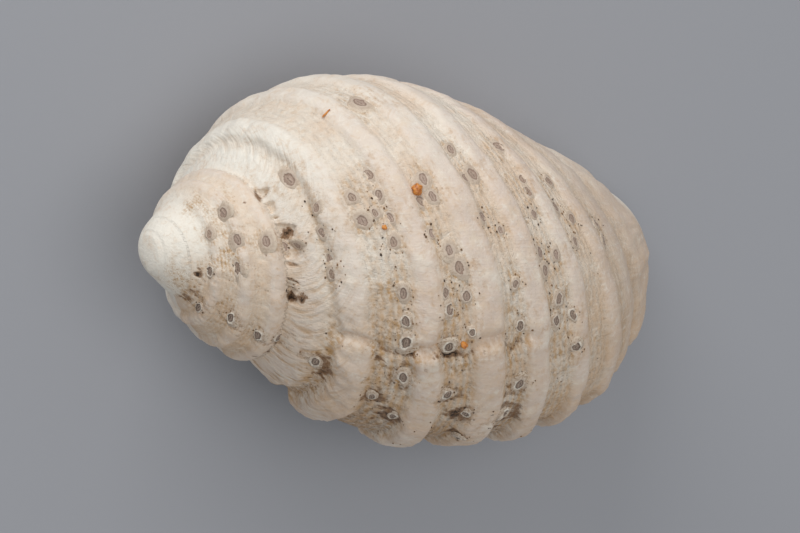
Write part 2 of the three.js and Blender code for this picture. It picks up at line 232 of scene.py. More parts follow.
# the body whorl with its base drawn out into the canal
def canalPoint(share, angle):
    radius, depth = bodyPoint(share, angle)
    plainEnd = bodyPoint(np.ones_like(share), angle)[1]
    grown = ease(*growth["canalOver"], angle)
    reach = (curve(growth["canalEnd"], angle) - plainEnd) * grown
    t = np.clip((share - growth["canalFrom"]) / (1 - growth["canalFrom"]), 0, 1)
    depth = depth + reach * t * t * (1 + growth["canalBow"] - growth["canalBow"] * t)
    pull = curve(growth["canalHold"], angle) * grown * ease(growth["canalPull"], 1, share)
    return radius + (pillarReach(depth, angle) - radius) * pull, depth


# smooth outside of the shell: radius and distance along the axis
def plainPoint(share, angle):
    bodyRadius, bodyDepth = canalPoint(share, angle)
    past = np.minimum(share, growth["sutureShare"])
    oldRadius, oldDepth = spirePoint(past, angle)
    baseRadius, baseDepth = bodyPoint(past, angle)
    young = 1 - ease(bodyStart, bodyStart + growth["oldFade"], angle)
    fade = young * (1 - ease(growth["sutureShare"], growth["sutureShare"] + growth["baseFade"], share))
    spireRadius, spireDepth = spirePoint(share, angle)
    onSpire = (angle <= bodyStart) & (share <= growth["sutureShare"])
    radius = np.where(onSpire, spireRadius, bodyRadius + (oldRadius - baseRadius) * fade)
    return radius, np.where(onSpire, spireDepth, bodyDepth + (oldDepth - baseDepth) * fade)


# the place among straight cords of a place among the bent ones
def unbent(share, angle):
    bend = curve(cords["bend"], angle)
    straight = share
    for _ in range(3):
        straight = share - bend * curve(cords["bendTaken"], straight)
    return straight


# how much of a cord is under a place, from 0 in a furrow to 1 on a crest, and the cord's height there
def cordAt(share, angle):
    moved = unbent(share, angle)
    crest = np.zeros_like(moved)
    height = np.zeros_like(moved)
    for k, (at, wide, high) in enumerate(cords["rows"]):
        side = moved - at - cords["wander"] * noise(angle / cords["wanderLength"], k * 7.0, 3)
        ragged = cords["edgeWander"] * noise(angle / cords["edgeLength"], k * 7.0 + (side > 0) * 3, 5)
        edge = np.abs(side) - wide / 2 - ragged
        here = 1 - ease(-cords["shoulder"] * wide, cords["foot"], edge)
        uneven = cords["uneven"] * noise(angle / cords["unevenLength"], k * 5.0, 8)
        top = high * (1 + uneven - cords["crown"] * np.clip(2 * side / wide, -1, 1) ** 2)
        height = np.maximum(height, here * top)
        crest = np.maximum(crest, here)
    return crest, height


# degrees past the repair line, and how strong the line is there
def pastScar(share, angle, crest):
    line = curve(scar["line"], share) - scar["ahead"] * crest
    for degrees, count, seed in scar["ragged"]:
        line = line + degrees * noise(share * count, 2.0, seed)
    return angle - line, ease(*scar["starts"], share) * (1 - ease(*scar["ends"], share))


def chipAt(share, angle):
    start, end = chip["from"], chip["to"]
    span = ease(start, start + chip["runOut"], angle) * (1 - ease(end - chip["runOut"], end, angle))
    jag = chip["mean"]
    for part, length, seed in chip["jags"]:
        jag = jag + part * noise(angle / length, 1.0, seed)
    edge = chip["reach"] * span * np.clip(jag, 0, chip["most"])
    return (1 - ease(edge - chip["edge"], edge + chip["edge"], share)) * span * ease(*chip["least"], edge)


def lumpAt(size, share, angle, seed):
    height, length, count = lumps[size]
    return height * noise(angle / length, share * count, seed)


def relief(share, angle):
    crest, height = cordAt(share, angle)
    height = height * (1 - cords["lipLoss"] * ease(*cords["lipLossOver"], angle))
    sunk = cords["sunk"] * ease(*cords["sunkOver"], angle)
    height = height - sunk * (1 - crest) * ease(*cords["sunkBelow"], share)
    # the old cords dip before the repair line, and the new ones rise behind it in round fronts
    behind, reach = pastScar(share, angle, crest)
    dip = 1 - scar["dip"] * ease(scar["dipFrom"], 0, behind)
    t = np.clip(behind / scar["front"], 0, 1)
    fuller = scar["fuller"] * (1 - ease(*scar["healed"], behind))
    rise = 1 - scar["dip"] + (scar["dip"] + fuller) * np.sqrt(t * (2 - t))
    height = height * (1 + (np.where(behind < 0, dip, rise) - 1) * reach)
    height = height - scar["drop"] * np.exp(-(behind / scar["dropWidth"]) ** 2) * reach
    uneven = lumpAt("coarse", share, angle, 31) + lumpAt("middle", share, angle, 32)
    uneven = uneven + lumpAt("fine", share, angle, 33) * ease(*lumps["fineOver"], angle)
    height = height + uneven * ease(*lumps["below"], share)
    lip = ease(growth["lipAngle"] - growth["lipBevel"], growth["lipAngle"], angle)
    return crest, height - growth["lipDrop"] * lip * lip


def outside(share, angle):
    share, angle = np.broadcast_arrays(np.asarray(share, float), np.asarray(angle, float))
    radius, depth = plainPoint(share, angle)
    before = plainPoint(np.maximum(0, share - growth["slopeStep"]), angle)
    after = plainPoint(np.minimum(1, share + growth["slopeStep"]), angle)
    run = np.array(after) - np.array(before)
    run = run / np.maximum(np.hypot(run[0], run[1]), 1e-6)
    turns = np.minimum(0, (angle - bodyStart) / 360)
    size = curve(growth["width"], angle) * growth["whorlGain"] ** turns
    later = ease(bodyStart - growth["spireRunOut"], bodyStart + growth["spireRunOut"], angle)
    strength = growth["spireRelief"] + (1 - growth["spireRelief"]) * later
    height = relief(share, angle)[1]
    suture, soft = growth["sutureShare"], growth["sutureSoft"]
    young = np.where(angle <= bodyStart, 1 - ease(suture - soft, suture, share), 1)
    young = young * ease(*knob["reliefOver"], radius)
    ends = ease(0, soft, share) * (1 - ease(cords["endsAt"], 1, share))
    chipped = chipAt(share, angle) * (angle > bodyStart) * ease(0, chip["seam"], share)
    height = height * size * strength * ends * young - chip["depth"] * chipped * size
    return radius + run[1] * height, depth - run[0] * height


def axisBasis(lift, heading, roll):
    lift, heading = math.radians(lift), math.radians(heading)
    level = math.cos(lift)
    along = Vector((level * math.cos(heading), level * math.sin(heading), -math.sin(lift)))
    side = Vector((math.sin(heading), -math.cos(heading), 0))
    side.rotate(Quaternion(along, math.radians(roll)))
    return Matrix((side.cross(along), side, along)).transposed()


restTurn = axisBasis(growth["apexLift"], growth["heading"], growth["roll"])


# from radius, distance along the axis and angle to the row frame in metres
def placed(radius, depth, angle):
    a = np.radians(angle)
    local = np.stack(np.broadcast_arrays(radius * np.cos(a), radius * np.sin(a), depth), -1)
    return (local @ np.array(restTurn).T + np.array(growth["apexPlace"])) * mm


def mode(name):
    bpy.ops.object.mode_set(mode=name)


def deselectAll():
    if bpy.context.object and bpy.context.object.mode != "OBJECT":
        mode("OBJECT")
    bpy.ops.object.select_all(action="DESELECT")


def pick(*pieces):
    deselectAll()
    for piece in pieces:
        piece.select_set(True)
    bpy.context.view_layer.objects.active = pieces[0]


def coords(piece):
    flat = np.empty(len(piece.data.vertices) * 3)
    piece.data.vertices.foreach_get("co", flat)
    return flat.reshape(-1, 3)


def setCoords(piece, points):
    piece.data.vertices.foreach_set("co", np.ascontiguousarray(points, float).ravel())
    piece.data.update()


def setValues(piece, name, values):
    layer = piece.data.attributes.get(name) or piece.data.attributes.new(name, "FLOAT", "POINT")
    values = np.broadcast_to(values, len(piece.data.vertices))
    layer.data.foreach_set("value", np.ascontiguousarray(values, np.float32))


# a flat grid with one corner at (0, 0), read back as whole row and column numbers
def gridOf(name, rows, columns):
    deselectAll()
    bpy.ops.mesh.primitive_grid_add(x_subdivisions=rows, y_subdivisions=columns, size=1)
    piece = bpy.context.object
    piece.name = name
    spots = coords(piece) + 0.5
    return piece, np.rint(spots[:, 0] * rows).astype(int), np.rint(spots[:, 1] * columns).astype(int)


weldGap = 1e-6


def mergeAndClose(piece):
    pick(piece)
    mode("EDIT")
    bpy.ops.mesh.select_all(action="SELECT")
    bpy.ops.mesh.remove_doubles(threshold=weldGap)
    bpy.ops.mesh.select_all(action="SELECT")
    bpy.ops.mesh.fill_holes(sides=0)
    bpy.ops.mesh.select_all(action="SELECT")
    bpy.ops.mesh.normals_make_consistent(inside=False)
    mode("OBJECT")


def cutOrJoin(piece, other, operation):
    pick(piece)
    modifier = piece.modifiers.new(operation.lower(), "BOOLEAN")
    modifier.operation = operation
    modifier.solver = "MANIFOLD"
    modifier.object = other
    bpy.ops.object.modifier_apply(modifier=modifier.name)
    bpy.data.objects.remove(other)


skin = {
    "rowKnots": [(-248, 0), (-110, 58), (-75, 92), (95, 330), (112, 354)],  # angle, row
    "columnKnots": [(0, 0), (0.13, 42), (0.412, 84), (0.72, 134), (1, 166)],  # share, column
    "axisColumns": 8, "axisInset": 0.3,
    "axisSway": 0.25,  # the sheet closes on a narrow loop beside the axis, so that it doesn't meet itself
    "axisOff": 0.02, "noseOver": (-170, -130), "dome": 0.2, "domeOver": (-150, -100),
    "middleStep": 2,  # every second column goes on up the spire, and every seventh round the apex
    "apexStep": 7,
    "sharp": 50,  # degrees from which an edge is shown as one
}


def throughKnots(knots):
    values, steps = np.array(knots, float).T
    return np.interp(np.arange(knots[-1][1] + 1), steps, values)


def spiralSheet(name, turnsBack, columns, withAxis):
    rowAngles = throughKnots(skin["rowKnots"])
    axis = skin["axisColumns"] if withAxis else 0
    piece, row, column = gridOf(name, len(rowAngles) - 1, len(columns) - 1 + axis)
    angle = rowAngles[row] - 360 * turnsBack
    share = columns[np.minimum(column, len(columns) - 1)]
    radius, depth = outside(share, angle)
    points = placed(radius, depth, angle)
    if withAxis:  # the end of the canal closes on the axis
        past = np.clip((column - len(columns) + 1) / axis, 0, 1)[:, None]
        aged = row / (len(rowAngles) - 1)
        inside = depth - skin["axisInset"]
        nose = inside + (curve(growth["canalNose"], angle) - inside) * ease(*skin["noseOver"], angle)
        sway = -skin["axisSway"] * np.sin(np.pi * aged) - skin["axisOff"]
        centre = placed(sway, nose, growth["lipAngle"])
        dome = skin["dome"] * radius * ease(*skin["domeOver"], angle)
        bow = placed(0.0, dome, angle) - placed(0.0, 0.0, angle)
        points = np.where(past > 0, points + (centre - points) * past + bow * np.sin(np.pi * past), points)
    setCoords(piece, points)
    setValues(piece, "across", share)
    setValues(piece, "turn", angle)
    return piece


def tubeOf(name, rows, count, pointsAt):
    piece, row, column = gridOf(name, rows, count)
    setCoords(piece, pointsAt(row, column))
    mergeAndClose(piece)
    return piece


def pillarPiece():
    first, last = pillar["radius"][0][0], pillar["radius"][-1][0]

    def pointsAt(row, column):
        depth = first + (last - first) * row / pillar["levels"]
        angle = (column % pillar["points"]) * 360 / pillar["points"]
        shift = curve(pillar["shift"], depth)
        radius = curve(pillar["radius"], depth) - pillar["slimmer"]
        middle = placed(shift, depth, pillar["side"]) - placed(0 * shift, depth, pillar["side"])
        return placed(radius, depth, angle) + middle

    piece = tubeOf("pillar", pillar["levels"], pillar["points"], pointsAt)
    for name, value in pillar["finish"].items():
        setValues(piece, name, value)
    return piece


hollow = {
    "outline": [
        (8.7, 11.6), (10.1, 15), (11.4, 19.4), (11.8, 24), (11.6, 28.4), (10.8, 32), (9.2, 34.9),
        (6.6, 37.2), (3.6, 38.6), (2.2, 37.4), (2.6, 34), (3.9, 29), (4.7, 24), (5.5, 19.5),
        (6.9, 15.4), (7.7, 12.6),
    ],
    "taper": [
        (-110, 0.12), (-80, 0.42), (-30, 0.66), (45, 0.86), (100, 0.97), (118, 0.99), (130, 1), (144, 1.05),
    ],
    "from": 144.0, "to": -110.0, "rows": 60, "points": 64,
}


def hollowPiece():
    spots = np.array(hollow["outline"], float)
    closed = np.vstack([spots[-2:], spots, spots[:2]])
    steps = np.arange(len(closed)) - 2.0
    middle = spots.mean(0)
    lipWidth = curve(growth["width"], growth["lipAngle"])
    lipLength = curve(growth["length"], growth["lipAngle"])

    def pointsAt(row, column):
        angle = hollow["from"] + (hollow["to"] - hollow["from"]) * row / hollow["rows"]
        step = (column % hollow["points"]) * len(spots) / hollow["points"]
        taper = curve(hollow["taper"], angle)
        radius = middle[0] + (curve(list(zip(steps, closed[:, 0])), step) - middle[0]) * taper
        depth = middle[1] + (curve(list(zip(steps, closed[:, 1])), step) - middle[1]) * taper
        width = curve(growth["width"], angle) / lipWidth
        return placed(radius * width, depth * curve(growth["length"], angle) / lipLength, angle)

    return tubeOf("hollow", hollow["rows"], hollow["points"], pointsAt)


# rounds off the surface near a place
def smoothNear(piece, spot, reach, repeat):
    pick(piece)
    mode("EDIT")
    bpy.ops.mesh.select_mode(type="VERT")
    bpy.ops.mesh.select_all(action="DESELECT")
    mode("OBJECT")
    near = np.linalg.norm(coords(piece) - spot, axis=1) < reach * mm
    piece.data.vertices.foreach_set("select", near)
    mode("EDIT")
    bpy.ops.mesh.vertices_smooth(factor=0.5, repeat=repeat)
    mode("OBJECT")


wornSize = 0.1


# everything under the floor is rubbed away where the shell stands
def wornBlock():
    deselectAll()
    bpy.ops.mesh.primitive_cube_add(size=wornSize, location=(0, 0, -wornSize / 2))
    bpy.ops.object.transform_apply(location=True, rotation=True, scale=True)
    return bpy.context.object


# young barnacles: angle, share along the section, width
barnacles = {
    "band": [
        (-31, 0.064, 1.25), (-13, 0.08, 0.81), (-2, 0.072, 0.81), (9, 0.072, 0.75), (16, 0.072, 0.75),
        (61, 0.068, 0.94), (3, 0.028, 0.75), (4, 0.004, 0.69), (28, 0.008, 0.69),
    ],
    "spire": [
        (-370, 0.102, 0.75), (-385, 0.214, 0.94), (-363, 0.226, 0.94), (-360, 0.346, 0.88),
        (-333, 0.078, 0.81), (-341, 0.202, 0.88), (-286, 0.074, 0.81), (-300, 0.202, 0.94),
        (-296, 0.33, 0.88), (-298, 0.41, 0.81),
    ],
    "underShoulder": [
        (-21, 0.2, 0.88), (-14, 0.144, 0.94), (-13, 0.196, 0.94), (-5, 0.144, 0.94), (-7, 0.172, 0.75),
        (-5, 0.2, 0.88), (3, 0.188, 0.88), (19, 0.188, 0.88), (28, 0.192, 0.88), (35, 0.196, 1.0),
        (48, 0.208, 0.94), (62, 0.176, 0.75), (69, 0.244, 0.75),
    ],
    "secondFurrow": [
        (-50, 0.312, 1.25), (-16, 0.312, 1.0), (-10, 0.312, 0.88), (-9, 0.28, 0.88), (1, 0.276, 0.75),
        (6, 0.304, 0.88), (11, 0.316, 1.0), (18, 0.276, 0.81), (19, 0.324, 0.94), (23, 0.28, 0.81),
        (29, 0.332, 0.75), (34, 0.284, 1.0), (50, 0.308, 0.94), (58, 0.376, 0.88), (71, 0.408, 0.75),
    ],
    "thirdFurrow": [
        (-25, 0.44, 0.81), (-16, 0.456, 1.12), (-15, 0.428, 0.75), (-3, 0.42, 0.81), (1, 0.46, 0.56),
        (16, 0.456, 0.75), (28, 0.46, 0.88), (46, 0.48, 1.0), (60, 0.48, 1.38),
    ],
    "fourthFurrow": [
        (-26, 0.612, 0.94), (-14, 0.612, 0.81), (-10, 0.604, 0.75), (-3, 0.584, 0.81), (8, 0.552, 0.81),
        (9, 0.6, 0.75), (13, 0.552, 0.88), (21, 0.576, 0.88), (27, 0.56, 0.88), (26, 0.612, 0.75),
        (35, 0.616, 1.0),
    ],
    "fifthFurrow": [
        (-14, 0.72, 0.81), (-5, 0.68, 0.81), (-1, 0.716, 0.81), (1, 0.8, 0.69), (6, 0.688, 0.75),
        (7, 0.796, 0.62),
    ],
}
barnacleSpots = [spot for group in barnacles.values() for spot in group]


# dirt lodged in small pockets, and rusty stains on the worn tip: angle, share, width
pockets = [
    (-4, 0.012, 0.55), (36, 0.006, 0.6), (33, 0.024, 0.4), (44, 0.152, 0.5), (52, 0.144, 0.3),
    (38, 0.204, 0.5), (41, 0.24, 0.4), (37, 0.284, 0.5), (59, 0.352, 0.6), (58, 0.376, 0.5),
    (37, 0.252, 0.4), (35, 0.34, 0.4), (34, 0.36, 0.35), (-323, 0.018, 0.4), (-391, 0.405, 0.6),
    (-389, 0.33, 0.35), (-351, 0.33, 0.35), (-328, 0.326, 0.3), (-275, 0.378, 0.7), (-280, 0.405, 0.6),
]
rust = [(-662, 0.298, 1.3), (-642, 0.405, 1.1), (-669, 0.174, 0.8), (-410, 0.1, 0.9), (-352, 0.15, 0.8)]
darkRust = rust[:3]

# amounts of ochre stain, dark grime (partly painted shadow round the barnacles' feet) and bright worn
# surface, and the ranges over which they come in
marks = {
    "stain": {"furrow": 1.0, "scar": 0.5, "lip": 0.45, "rust": 1.0, "barnacle": 0.45, "chip": 0.3},
    "grimeAndShadow": {
        "seam": 0.2, "chip": 0.12, "scar": 0.5, "barnacle": 0.46, "lip": 0.45, "pocket": 0.68, "tip": 0.26,
    },
    "pale": {"spire": 0.3, "band": 0.5, "upper": 0.25, "crest": 0.3, "tip": 0.6, "canal": 0.35},
    "upperStain": 0.14, "spireStain": 0.3, "baseLoss": 0.5, "upperGrime": 0.15, "lowLoss": 0.7,
    "spireLow": 0.2, "spireRibs": 0.25,
    "over": {  # angles, shares along the section or distances from the axis
        "tip": (2.6, 4.2), "ribs": (3, 8), "body": (bodyStart - 30, bodyStart + 60),
        "furrow": (0.05, 0.075), "low": (-30, 75), "lower": (-10, 85), "base": (0.5, 0.72),
        "lipStain": (70, 95), "lipGrime": (30, 80), "seam": (-60, -10), "upper": (-70, 10),
        "band": (0.06, 0.2), "flank": (0.4, 0.7), "canal": (0.7, 0.95),
    },
    "scarStain": (2, 3),  # degrees behind the repair line, and spread
    "scarGrime": (0.5, 1.2),
    "barnacleRing": (0.7, 0.42),  # distance and spread in widths of a spot
    "rustSpread": 0.8, "pocketSpread": 0.55, "tipSpread": 0.6, "seamWidth": 0.006,
    "sutureWidth": 0.01, "patchLength": 6, "patches": (-0.1, 0.6),
    "ragged": [(0.45, 1.9, 1, 71), (0.35, 4.7, 3, 72)],  # share of the distance, count in a mm, lean, seed
}


def spotMiddles(spots):
    angle, share, _ = np.array(spots, float).T
    return onSkin(share, angle)


# 1 at a distance from the spots, as a share of their widths, and less farther off
def aroundSpots(here, spots, away, spread):
    near = np.zeros(len(here))
    x, y, z = here.T / mm
    ragged = 1
    for part, count, lean, seed in marks["ragged"]:
        ragged = ragged + part * noise(x * count, y * count + z * lean, seed)
    for (_, _, width), middle in zip(spots, spotMiddles(spots)):
        off = ragged * np.linalg.norm(here - middle, axis=1) / (width * mm)
        near = np.maximum(near, np.exp(-((off - away) / spread) ** 2))
    return near


# from an amount where the share is 0 to all where it is 1
def atLeast(amount, share):
    return amount + (1 - amount) * share


def total(amounts, **patterns):
    return sum(amounts[name] * pattern for name, pattern in patterns.items())


# 1 at a distance behind the repair line, and less before and after it
def alongScar(behind, band):
    at, spread = band
    return np.exp(-((behind - at) / spread) ** 2)


# where stains, grime with a painted shadow round each barnacle, and bright worn places lie, for the finish
# of the skin
def tintSkin(piece):
    over = marks["over"]
    share = np.empty(len(piece.data.vertices))
    angle = np.empty_like(share)
    outer = np.empty_like(share)
    for name, values in (("across", share), ("turn", angle), ("outer", outer)):
        piece.data.attributes[name].data.foreach_get("value", values)
    here = coords(piece)
    local = (here / mm - np.array(growth["apexPlace"])) @ np.array(restTurn)
    fromAxis = np.linalg.norm(local[:, :2], axis=1)
    ribbed = ease(*over["tip"], fromAxis)
    crest = cordAt(share, angle)[0] * ribbed
    onBody = ease(*over["body"], angle)
    grown = angle + 360 * (angle <= bodyStart)
    behind, reach = pastScar(share, angle, crest)
    chipped = chipAt(share, angle) * (angle > bodyStart)
    furrow = (1 - crest) * ease(*over["furrow"], share)
    low = ease(*over["low"], grown)
    # a ring round each barnacle's foot: it adds ochre stain, and grime that is partly dirt and partly
    # painted shadow
    nearBarnacle = aroundSpots(here, barnacleSpots, *marks["barnacleRing"])
    inFurrow = furrow * atLeast(marks["upperStain"], low) * atLeast(marks["spireStain"], onBody) * ribbed
    stain = total(
        marks["stain"],
        furrow=inFurrow * (1 - marks["baseLoss"] * ease(*over["base"], share)),
        scar=alongScar(behind, marks["scarStain"]) * reach,
        lip=ease(*over["lipStain"], angle) * furrow,
        rust=aroundSpots(here, rust, 0.0, marks["rustSpread"]),
        barnacle=nearBarnacle,
        chip=chipped,
    )
    toSuture = (growth["sutureShare"] - share).clip(0)
    seam = np.exp(-share / marks["seamWidth"]) * onBody
    seam = seam + np.exp(-toSuture / marks["sutureWidth"]) * (angle <= bodyStart)
    patchy = ease(*marks["patches"], noise(grown / marks["patchLength"], 3.0, 73))
    grimeAndShadow = total(
        marks["grimeAndShadow"],
        seam=seam * ease(*over["seam"], grown) * patchy * ribbed,
        chip=chipped,
        scar=alongScar(behind, marks["scarGrime"]) * reach * furrow,
        # the ring round the barnacles' feet, partly dirt and partly painted shadow, weaker on the upper
        # side
        barnacle=nearBarnacle * atLeast(marks["upperGrime"], low),
        lip=furrow * ease(*over["lipGrime"], angle),
        pocket=aroundSpots(here, pockets, 0.0, marks["pocketSpread"]),
        tip=aroundSpots(here, darkRust, 0.0, marks["tipSpread"]),
    )
    upper = (1 - ease(*over["upper"], grown)) * onBody
    flank = upper * (1 - ease(*over["flank"], share))
    pale = total(
        marks["pale"],
        spire=1 - onBody,
        band=(1 - ease(*over["band"], share)) * onBody,
        upper=flank,
        crest=crest * flank,
        tip=1 - ribbed,
        canal=upper * ease(*over["canal"], share),
    )
    # the lower side in this view, lower spire included, is tinted tan in the finish: partly staining,
    # partly painted warm shade on the side away from the key light
    lower = np.maximum(ease(*over["lower"], grown), marks["spireLow"] * (1 - onBody) * ribbed)
    setValues(piece, "across", unbent(share, angle))
    setValues(piece, "crest", crest * outer)
    setValues(piece, "stain", np.clip(stain, 0, 1) * outer)
    setValues(piece, "grimeAndShadow", np.clip(grimeAndShadow, 0, 1) * outer)
    # the pale wear fades towards the lower side, in part as painted shade
    setValues(piece, "pale", np.clip(pale, 0, 1) * (1 - marks["lowLoss"] * low))
    setValues(piece, "low", lower * outer)
    setValues(piece, "ribbed", ease(*over["ribs"], fromAxis) * atLeast(marks["spireRibs"], onBody) * outer)


def shellSkin():
    columns = throughKnots(skin["columnKnots"])
    sutureColumn = int(np.argmin(np.abs(columns - growth["sutureShare"])))
    older = columns[:sutureColumn + 1]
    body = spiralSheet("shellSkin", 0, columns, True)
    spire = spiralSheet("spire", 1, older[::skin["middleStep"]], False)
    apex = spiralSheet("apex", 2, older[::skin["apexStep"]], False)
    pick(body, spire, apex)
    bpy.ops.object.join()
    mergeAndClose(body)
    setValues(body, "outer", 1.0)
    cutOrJoin(body, pillarPiece(), "UNION")
    smoothNear(body, placed(0.0, knob["smoothDepth"], 0.0), knob["smooth"], knob["smoothRepeat"])
    cutOrJoin(body, hollowPiece(), "DIFFERENCE")
    cutOrJoin(body, wornBlock(), "DIFFERENCE")
    tintSkin(body)
    pick(body)
    bpy.ops.object.shade_smooth_by_angle(angle=math.radians(skin["sharp"]))
    return body


# a socket in a node tree: sums and products of wires add Math nodes
class Wire:
    def __init__(self, tree, socket=None):
        self.tree = tree
        self.socket = socket

    def node(self, kind, settings=None, inputs=None, output=0):
        made = self.tree.nodes.new("ShaderNode" + kind)
        for name, value in (settings or {}).items():
            setattr(made, name, value)
        for name, value in (inputs or {}).items():
            if isinstance(value, Wire):
                self.tree.links.new(value.socket, made.inputs[name])
            else:
                made.inputs[name].default_value = value
        return Wire(self.tree, made.outputs[output])

    def math(self, operation, first, second=0.0):
        return self.node("Math", {"operation": operation}, {0: first, 1: second})

    def __add__(self, other):
        return self.math("ADD", self, other)

    def __radd__(self, other):
        return self.math("ADD", other, self)

    def __sub__(self, other):
        return self.math("SUBTRACT", self, other)

    def __rsub__(self, other):
        return self.math("SUBTRACT", other, self)

    def __mul__(self, other):
        return self.math("MULTIPLY", self, other)

    def __rmul__(self, other):
        return self.math("MULTIPLY", other, self)

    # 0 below low, 1 above high
    def rise(self, low, high):
        settings = {"interpolation_type": "SMOOTHSTEP"}
        return self.node("MapRange", settings, {"Value": self, "From Min": low, "From Max": high})

    def attributes(self, *names):
        return [self.node("Attribute", {"attribute_name": name}, None, "Fac") for name in names]

    def vector(self, x, y):
        return self.node("CombineXYZ", None, {"X": x, "Y": y})

    def cloud(self, place, scale, detail=3.0, rough=0.5, twist=0.0):
        inputs = {"Vector": place, "Scale": scale, "Detail": detail}
        inputs.update({"Roughness": rough, "Distortion": twist})
        return self.node("TexNoise", None, inputs)

    # first colour where the share is 0, second where it is 1
    def blend(self, share, first, second):
        return self.node("Mix", {"data_type": "RGBA"}, {"Factor": share, 6: first, 7: second}, 2)

    # each layer covers what is under it by its share
    def layered(self, colour, tints, layers):
        for share, name in layers:
            colour = self.blend(share, colour, tints[name])
        return colour

    # height in millimetres
    def bump(self, height):
        return self.node("Bump", None, {"Strength": 1.0, "Distance": mm, "Height": height})

    def feed(self, shader, name):
        self.tree.links.new(self.socket, shader.inputs[name])


# a colour as seen on a screen, from 0 to 255, as the light it stands for
def tint(red, green, blue):
    def light(value):
        value = value / 255
        return value / 12.92 if value <= 0.04045 else ((value + 0.055) / 1.055) ** 2.4

    return light(red), light(green), light(blue), 1.0


def newFinish(name):
    finish = bpy.data.materials.new(name)
    finish.use_nodes = True
    shader = finish.node_tree.nodes["Principled BSDF"]
    return finish, shader, Wire(finish.node_tree)


# places in millimetres, so that a noise of scale 1 has features of about a millimetre
def placeOn(tree):
    place = tree.node("TexCoord", None, None, "Object")
    return tree.node("VectorMath", {"operation": "SCALE"}, {0: place, "Scale": 1000.0})


shellTints = {
    "chalk": tint(231, 218, 202),
    "rose": tint(222, 199, 176),
    "lilac": tint(219, 200, 186),
    "cream": tint(240, 234, 222),
    "tan": tint(208, 174, 138),
    "ochre": tint(186, 146, 98),
    "brown": tint(124, 88, 56),
    "dark": tint(58, 43, 32),
    "inside": tint(233, 219, 202),
    "ribSpacing": 0.0158, "ribHeight": 0.06, "wrinkleHeight": 0.16, "growthHeight": 0.035,
    "grainHeight": 0.02, "fineHeight": 0.05, "patchHeight": 0.1, "dirtDepth": 0.12,
    "wide": (0.25, 3),  # scale in a millimetre, detail, roughness, twist
    "middle": (0.9, 5, 0.65), "patch": (1.7, 5, 0.7, 0.6), "fine": (4.0, 3, 0.6),
    "grain": (11.0, 2, 0.6),
    "streakCount": (80, 0.36),  # across the whorl, along it
    "lineCount": (14, 1.1), "wrinkleCount": (24, 0.34), "wrinkleBow": 900, "dotScale": 3.6,
    "shine": 0.3,
}


